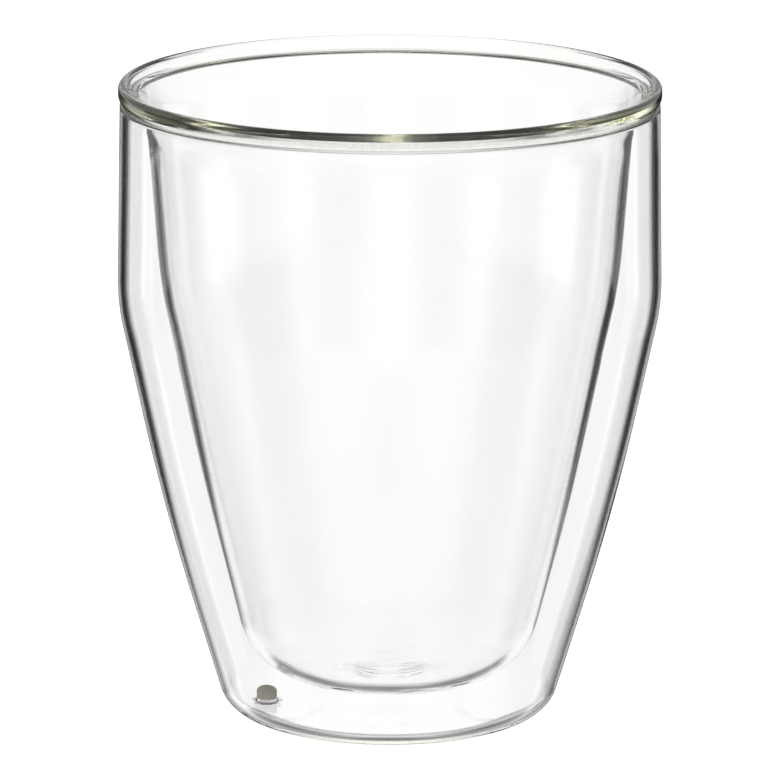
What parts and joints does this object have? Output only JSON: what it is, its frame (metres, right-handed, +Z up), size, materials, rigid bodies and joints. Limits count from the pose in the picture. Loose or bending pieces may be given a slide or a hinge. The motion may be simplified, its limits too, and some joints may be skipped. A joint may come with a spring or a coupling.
{
  "type": "double walled glass cup",
  "caption": "Clear double walled glass cup: a tapered inner vessel held by its melted rim inside a shouldered outer one, with a plugged vent in the foot. It keeps a drink warm and the hand cool.",
  "frame": {"origin": "centre of the circle that the cup stands on, at the height of the table", "axes": "+Z up along the cup's axis; the vent lies on the -X side, and the picture looks along +Y"},
  "size_m": [0.086, 0.086, 0.102],
  "materials": {
    "outer_glass": "clear blown borosilicate glass, polished by the flame",
    "inner_glass": "clear blown borosilicate glass with faint turning marks in the floor",
    "rim_glass": "clear glass, melted round, faintly olive where it is thick",
    "plug_silicone": "soft matt silicone, warm grey"
  },
  "bodies": {
    "root": {"outer_vessel": "outer_glass", "inner_vessel": "inner_glass", "rim_bead": "rim_glass", "vent_plug": "plug_silicone"}
  },
  "joints": []
}
